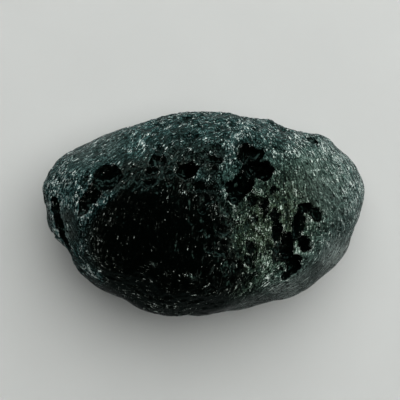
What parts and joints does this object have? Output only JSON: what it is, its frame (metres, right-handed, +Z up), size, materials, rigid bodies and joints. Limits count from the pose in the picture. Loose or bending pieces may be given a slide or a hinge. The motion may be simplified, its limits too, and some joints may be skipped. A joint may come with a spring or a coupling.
{
  "type": "tektite",
  "caption": "Rounded lump of black-green natural glass with flattened faces, deep bubble pits, low welts and a folded flow lip at one end.",
  "frame": {"origin": "on the ground the lump rests on, under the middle of its outline seen from above", "axes": "+X runs along the lump towards its blunt right end, +Y towards its upper edge seen from above, +Z up through the pitted crown"},
  "size_m": [0.0548, 0.0349, 0.0258],
  "materials": {
    "tektite_glass": "satin"
  },
  "bodies": {
    "root": {"tektite": "tektite_glass"}
  },
  "joints": []
}
